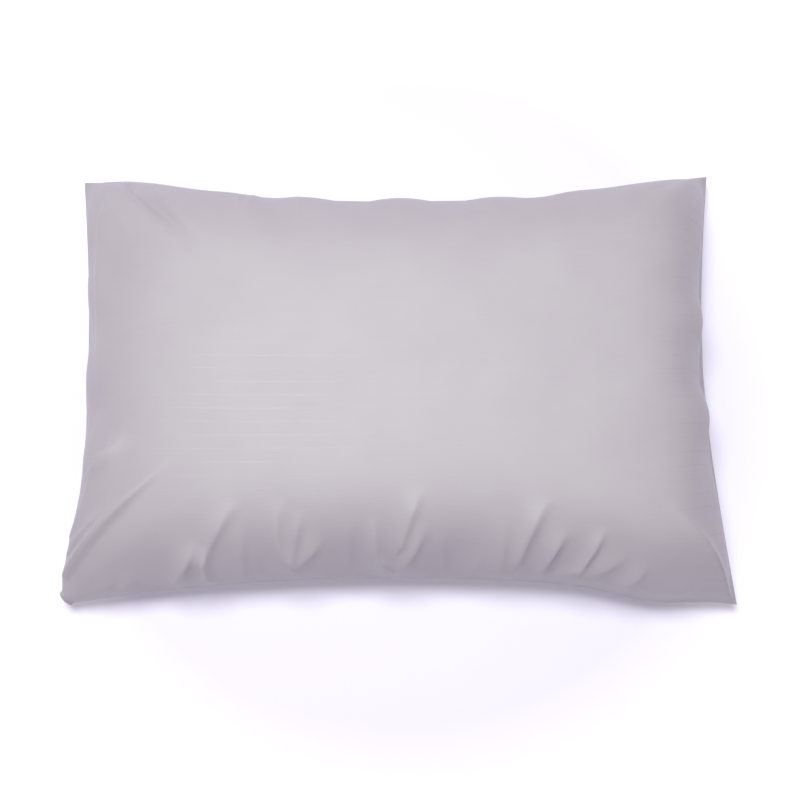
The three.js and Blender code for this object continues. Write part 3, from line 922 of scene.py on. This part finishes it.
def insert_skins(rim, depth, cells, pucker=0.0):
    """The insert's upper and lower surfaces, which meet at its rim, a distance in from the seam line."""
    patch = Patch((-END + rim, END - rim), (-SIDE + rim, SIDE - rim), cells, folded=False)
    from_end, from_side = END - rim - abs(patch.s), SIDE - rim - abs(patch.t)

    def rise(distance):
        return np.sin(np.clip(distance / RIM_ROUNDING, 0, 1) * math.pi / 2)

    share = (rise(from_end) * rise(from_side))[..., None]
    gather = (np.exp(-from_side / PUCKER_REACH) * (1 + np.sin(patch.s * PUCKERS_ALONG))
              + np.exp(-from_end / PUCKER_REACH) * (1 + np.sin(patch.t * PUCKERS_ACROSS)))
    low = -depth - pucker * gather
    top = patch.middle + (patch.along_front(low) - patch.middle) * share
    bottom = patch.middle + (patch.along_back(low) - patch.middle) * share
    return patch, top, bottom


def ticking(name, upper):
    patch, top, bottom = insert_skins(TICKING_RIM, INSERT_DEPTH, TICKING_CELLS, PUCKER)
    inside_depth = INSERT_DEPTH + TICKING_THICKNESS
    _, top_inside, bottom_inside = insert_skins(TICKING_RIM, inside_depth, TICKING_CELLS, PUCKER)
    apart = np.array([0, 0, TICKING_THICKNESS])
    if upper:
        return closed_sheet(name, top + apart, top_inside + apart / 4, patch.s, patch.t)
    bottom = bottom - apart
    bottom[..., 2] = np.maximum(bottom[..., 2], TICKING_FLOOR)
    inside = bottom_inside - apart / 4
    inside[..., 2] = np.maximum(inside[..., 2], TICKING_FLOOR + TICKING_THICKNESS)
    return closed_sheet(name, bottom, inside, patch.s, patch.t)


def fibre():
    depth = INSERT_DEPTH + 2 * TICKING_THICKNESS + FILL_GAP
    patch, top, bottom = insert_skins(FILL_RIM, depth, FILL_CELLS)
    lumps = smooth_noise(patch.s.shape, (40, 28), 11) * FILL_LUMPS
    thick = np.clip(patch.gap[..., 0] / FULL_GAP, 0, 1)
    inset = thick * (FILL_INSET + np.clip(lumps, -LUMP_LIMIT, LUMP_LIMIT))
    top[..., 2] -= inset
    bottom[..., 2] = np.maximum(bottom[..., 2] + inset, FILL_FLOOR)
    apart = np.array([0, 0, LEAST_FILL])
    return closed_sheet("fibre_mass", top + apart, bottom - apart, patch.s, patch.t)


def piping():
    """A covered cord round the insert's rim, its corners rounded."""
    s, t = END - PIPING_RIM - PIPING_CORNER, SIDE - PIPING_RIM - PIPING_CORNER
    path = []
    for *centre, start in ((s, t, 0), (-s, t, 90), (-s, -t, 180), (s, -t, 270)):
        for angle in np.radians(start + np.linspace(0, 90, CORNER_STEPS)):
            path.append(centre + PIPING_CORNER * np.array([math.cos(angle), math.sin(angle)]))
    path = np.array(path + path[:1])
    steps = np.linalg.norm(np.diff(path, axis=0), axis=1)
    along = np.concatenate([[0], np.cumsum(steps)])
    count = int(along[-1] / PIPING_STEP)
    places = np.linspace(0, along[-1], count, endpoint=False)
    flat = np.stack([np.interp(places, along, path[:, k]) for k in (0, 1)], -1)
    centres = surface_points((smooth_front + back) / 2, flat)
    tangent = np.roll(centres, -1, 0) - np.roll(centres, 1, 0)
    tangent /= np.linalg.norm(tangent, axis=1, keepdims=True)
    side = np.cross(tangent, (0, 0, 1))
    side /= np.linalg.norm(side, axis=1, keepdims=True)
    up = np.cross(side, tangent)
    angles = np.arange(PIPING_SIDES) / PIPING_SIDES * 2 * math.pi
    radius = PIPING_DIAMETER / 2 * (1 + PIPING_UNEVENNESS * np.sin(places * PIPING_WAVES))
    around = np.cos(angles)[None, :, None] * side[:, None] + np.sin(angles)[None, :, None] * up[:, None]
    points = centres[:, None] + radius[:, None, None] * around
    index = np.arange(count * PIPING_SIDES).reshape(count, PIPING_SIDES)
    onwards = np.roll(index, -1, 0)
    faces = np.stack([index, np.roll(index, -1, 1), np.roll(onwards, -1, 1), onwards], -1)
    cut = np.stack(np.broadcast_arrays(places[:, None], angles[None] * PIPING_DIAMETER / 2), -1)
    return mesh_object("insert_piping", points.reshape(-1, 3), faces.reshape(-1, 4), cut.reshape(-1, 2))


def surface_points(grid, flat):
    """Points of a panel at single cut coordinates, by straight interpolation."""
    rows, columns = grid.shape[0] - 1, grid.shape[1] - 1
    x = (flat[:, 0] / CUT_LENGTH + 0.5) * rows
    y = (flat[:, 1] / CUT_WIDTH + 0.5) * columns
    i, j = np.clip(x.astype(int), 0, rows - 1), np.clip(y.astype(int), 0, columns - 1)
    fx, fy = (x - i)[:, None], (y - j)[:, None]
    low = grid[i, j] * (1 - fx) + grid[i + 1, j] * fx
    high = grid[i, j + 1] * (1 - fx) + grid[i + 1, j + 1] * fx
    return low * (1 - fy) + high * fy


ticking_top = ticking("ticking_top", True)
ticking_bottom = ticking("ticking_bottom", False)
fill = fibre()
insert_piping = piping()


# --- care labels, blank ---
LABEL_SIZES = {"pillowcase_label": (0.034, 0.050), "insert_label": (0.031, 0.046)}
LABEL_THICKNESS = 0.0003
LABEL_CELLS = (16, 24)
CASE_LABEL_DEPTH = 0.0016         # under the outside of the case
INSERT_LABEL_RISE = 0.0008        # over the ticking


def care_label(name, node, depth):
    """A label laid where its CAD piece is, that place being scaled from the filled case to the cut cloth."""
    low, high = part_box(node)
    s = CUT_LENGTH / (CASE_HIGH[0] - CASE_LOW[0])
    t = CUT_WIDTH / (CASE_HIGH[1] - CASE_LOW[1])
    inner = high[1] * t
    outer = inner - LABEL_SIZES[name][1]
    patch = Patch((low[0] * s, high[0] * s), (outer, inner), LABEL_CELLS, folded=False)
    return layer_under_front(name, patch, np.full_like(patch.s, -depth), LABEL_THICKNESS)


case_label = care_label("pillowcase_label", "case_care_label", CASE_LABEL_DEPTH)
insert_label = care_label("insert_label", "insert_care_label", INSERT_DEPTH - INSERT_LABEL_RISE)


# --- finishes, bodies, and the CAD parts that the pieces replace ---
FINISHES = {
    "sateen": sateen_material(),
    "ticking": ticking_material(),
    "fibre": fibre_material(),
    "label_tape": label_material(),
}
SLOT_OF_NODE = {part["node"]: part["material_slot"] for part in frame["record"]["subparts"]}

CASE_PIECES = {
    pillowcase_front: "case_front_panel",
    pillowcase_back: "case_back_panel",
    flap: "case_tuck_flap",
    front_hem: "case_mouth_hem",
    hem_of_flap: "case_flap_hem",
    side_seam_near: "case_side_seam_near",
    side_seam_far: "case_side_seam_far",
    end_seam: "case_end_seam",
    mouth_seam: "case_mouth_seam",
    case_label: "case_care_label",
}
INSERT_PIECES = {
    ticking_top: "ticking_top_panel",
    ticking_bottom: "ticking_bottom_panel",
    insert_piping: "ticking_piping",
    fill: "fibre_fill",
    insert_label: "insert_care_label",
}

for body, members in (("pillowcase", CASE_PIECES), ("insert", INSERT_PIECES)):
    for piece, node in members.items():
        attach(piece, body)
        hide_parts(node)
        piece.data.materials.append(FINISHES[SLOT_OF_NODE[node]])

for piece in CASE_PIECES:
    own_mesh(piece)


# --- floor, light and camera ---
FLOOR_REACH = 4.0
FLOOR_DROP = 0.0005               # keeps the floor just clear of the cloth that lies on it
PILLOW_MIDDLE = (0, 0, 0.06)


def aim(thing, target):
    """Turns a lamp or a camera, which look along their own -Z, towards a point."""
    thing.rotation_mode = "QUATERNION"
    thing.rotation_quaternion = (thing.location - Vector(target)).to_track_quat("Z", "Y")


def floor():
    mesh = bpy.data.meshes.new("floor")
    corners = [(x * FLOOR_REACH, y * FLOOR_REACH, 0) for x, y in ((-1, -1), (1, -1), (1, 1), (-1, 1))]
    mesh.from_pydata(corners, [], [(0, 1, 2, 3)])
    mesh.materials.append(floor_material())
    plane = bpy.data.objects.new("floor", mesh)
    plane.location.z = -FLOOR_DROP
    bpy.context.scene.collection.objects.link(plane)


def soft_light(name, place, size, watts, colour):
    data = bpy.data.lights.new(name, "AREA")
    data.shape = "DISK"
    data.size = size
    data.energy = watts
    data.color = colour
    lamp = bpy.data.objects.new(name, data)
    lamp.location = place
    bpy.context.scene.collection.objects.link(lamp)
    aim(lamp, PILLOW_MIDDLE)


def surroundings(colour, strength):
    world = bpy.data.worlds.new("studio")
    world.use_nodes = True
    sky = world.node_tree.nodes["Background"]
    sky.inputs["Color"].default_value = (*colour, 1)
    sky.inputs["Strength"].default_value = strength
    bpy.context.scene.world = world


def camera():
    """The photograph's view: nearly straight down, from a little towards the near long edge."""
    elevation = math.radians(78)
    distance = 1.30
    target = Vector((0.0027, -0.0268, 0.060))
    data = bpy.data.cameras.new("camera")
    data.sensor_width = 36
    data.lens = 52.6
    eye = bpy.data.objects.new("camera", data)
    eye.location = target + distance * Vector((0, -math.cos(elevation), math.sin(elevation)))
    bpy.context.scene.collection.objects.link(eye)
    aim(eye, target)
    bpy.context.scene.camera = eye


floor()
soft_light("key", place=(-0.22, 0.24, 2.2), size=0.8, watts=41, colour=(0.98, 1.0, 0.98))
surroundings(colour=(1.0, 0.82, 0.98), strength=0.30)
camera()
bpy.context.scene.view_settings.view_transform = "Standard"
